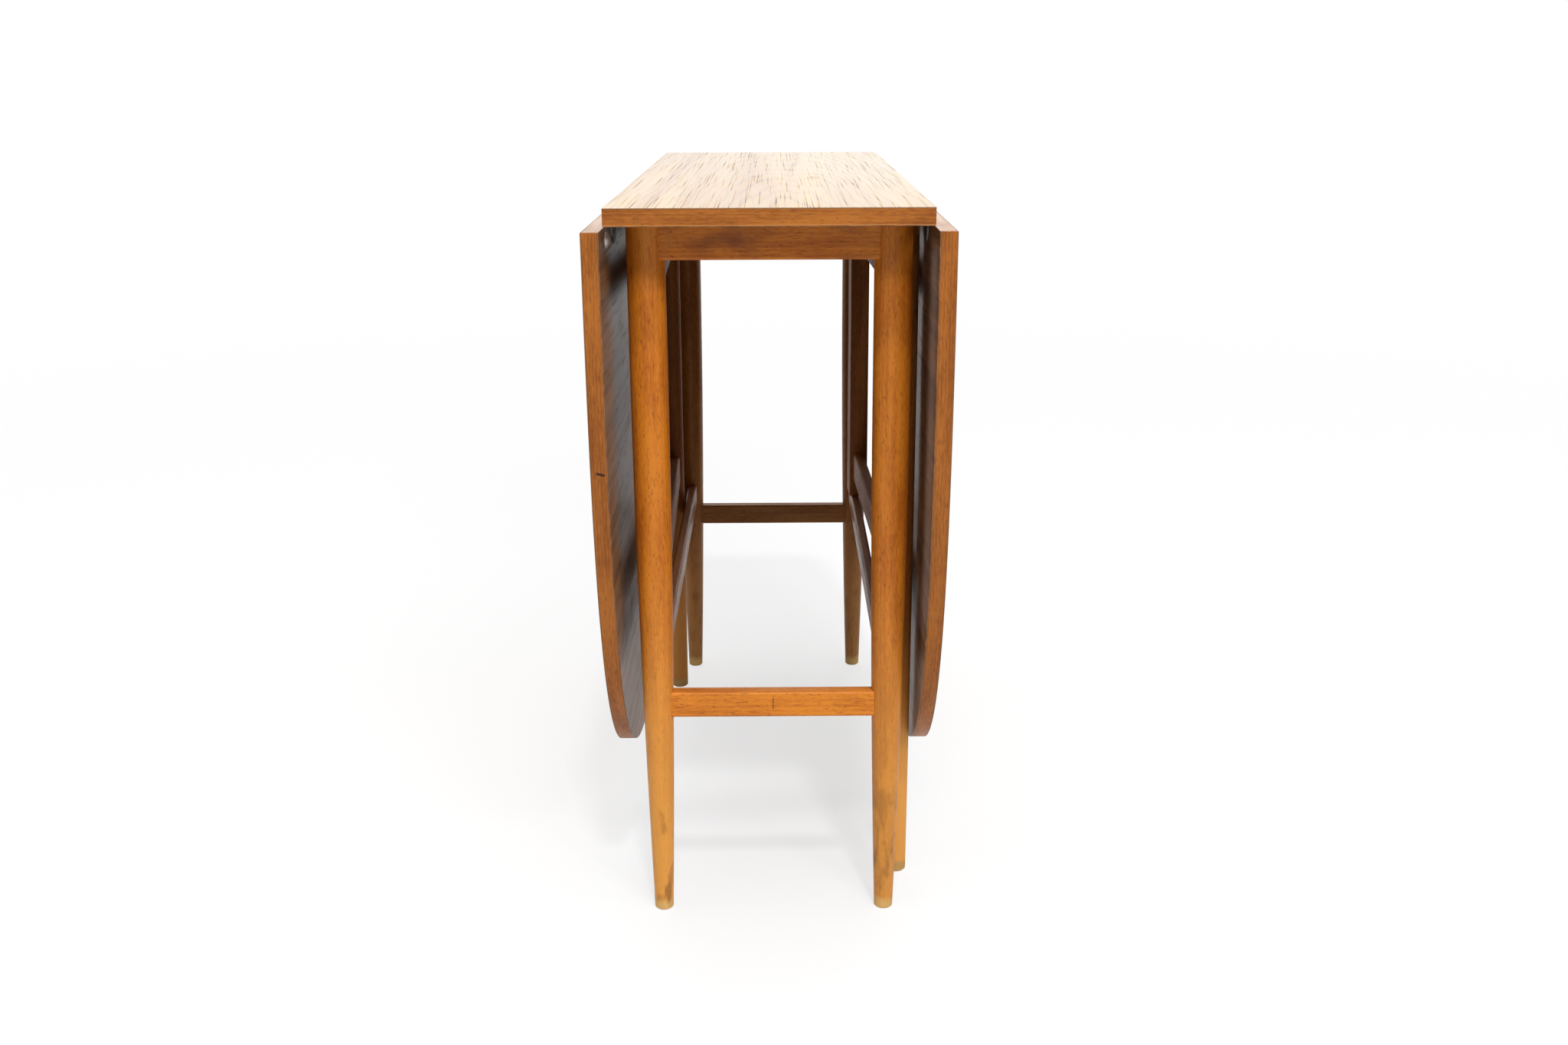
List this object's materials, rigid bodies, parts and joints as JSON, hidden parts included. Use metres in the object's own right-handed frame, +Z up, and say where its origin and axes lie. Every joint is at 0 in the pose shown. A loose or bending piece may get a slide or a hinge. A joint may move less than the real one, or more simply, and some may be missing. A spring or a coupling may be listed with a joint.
{
  "type": "butterfly folding table",
  "caption": "Drop-leaf gateleg table in teak with a narrow fixed top, rounded hanging leaves, round tapered legs and swinging gates.",
  "frame": {"origin": "on the floor under the middle of the fixed top", "axes": "+Z up, +Y along the fixed top away from the end in the picture, +X to the right of that end"},
  "size_m": [0.3296, 0.85, 0.73],
  "materials": {
    "teak_veneer": "oiled veneer, grain along the table's length",
    "teak_edge": "oiled solid edge strip",
    "teak_turned": "oiled solid wood, turned",
    "teak_bar": "oiled solid wood, planed",
    "back_veneer": "dull dark backing veneer",
    "board_core": "raw particle board",
    "hinge_plate": "dulled plated steel",
    "steel_fastener": "dull steel"
  },
  "bodies": {
    "frame": {"top_core": "board_core", "top_side_strips": "teak_edge", "top_end_strips": "teak_edge", "top_face_veneer": "teak_veneer", "top_back_veneer": "back_veneer", "top_screws": "steel_fastener", "leg_front_left": "teak_turned", "leg_front_right": "teak_turned", "leg_rear_left": "teak_turned", "leg_rear_right": "teak_turned", "end_rail_front": "teak_bar", "end_rail_rear": "teak_bar", "end_stretcher_front": "teak_bar", "end_stretcher_rear": "teak_bar", "side_rail_left": "teak_bar", "side_stretcher_left": "teak_bar", "gate_pivot_pins_left": "steel_fastener", "hinge_top_plates_left": "hinge_plate", "hinge_pins_left": "hinge_plate", "hinge_top_screws_left": "steel_fastener", "side_rail_right": "teak_bar", "side_stretcher_right": "teak_bar", "gate_pivot_pins_right": "steel_fastener", "hinge_top_plates_right": "hinge_plate", "hinge_pins_right": "hinge_plate", "hinge_top_screws_right": "steel_fastener"},
    "left_leaf": {"leaf_core_left": "board_core", "leaf_joint_strip_left": "teak_edge", "leaf_curved_strip_left": "teak_edge", "leaf_face_veneer_left": "teak_veneer", "leaf_back_veneer_left": "back_veneer", "leaf_stop_left": "teak_bar", "leaf_stop_screws_left": "steel_fastener", "leaf_buffer_left": "hinge_plate", "hinge_leaf_plates_left": "hinge_plate", "hinge_leaf_screws_left": "steel_fastener"},
    "right_leaf": {"leaf_core_right": "board_core", "leaf_joint_strip_right": "teak_edge", "leaf_curved_strip_right": "teak_edge", "leaf_face_veneer_right": "teak_veneer", "leaf_back_veneer_right": "back_veneer", "leaf_stop_right": "teak_bar", "leaf_stop_screws_right": "steel_fastener", "leaf_buffer_right": "hinge_plate", "hinge_leaf_plates_right": "hinge_plate", "hinge_leaf_screws_right": "steel_fastener"},
    "left_gate": {"gate_stile_left": "teak_bar", "gate_upper_rail_left": "teak_bar", "gate_lower_rail_left": "teak_bar", "gate_leg_left": "teak_turned"},
    "right_gate": {"gate_stile_right": "teak_bar", "gate_upper_rail_right": "teak_bar", "gate_lower_rail_right": "teak_bar", "gate_leg_right": "teak_turned"}
  },
  "joints": [
    {"name": "left_leaf_lift", "type": "hinge", "parent": "frame", "child": "left_leaf", "pos_m": [-0.14455, 0, 0.70975], "axis": [0, 1, 0], "range_deg": [0, 90]},
    {"name": "right_leaf_lift", "type": "hinge", "parent": "frame", "child": "right_leaf", "pos_m": [0.14455, 0, 0.70975], "axis": [0, -1, 0], "range_deg": [0, 90]},
    {"name": "left_gate_swing", "type": "hinge", "parent": "frame", "child": "left_gate", "pos_m": [-0.1135, -0.305, 0.277], "axis": [0, 0, 1], "range_deg": [0, 0.2]},
    {"name": "right_gate_swing", "type": "hinge", "parent": "frame", "child": "right_gate", "pos_m": [0.1135, 0.305, 0.277], "axis": [0, 0, 1], "range_deg": [0, 0.2]}
  ]
}
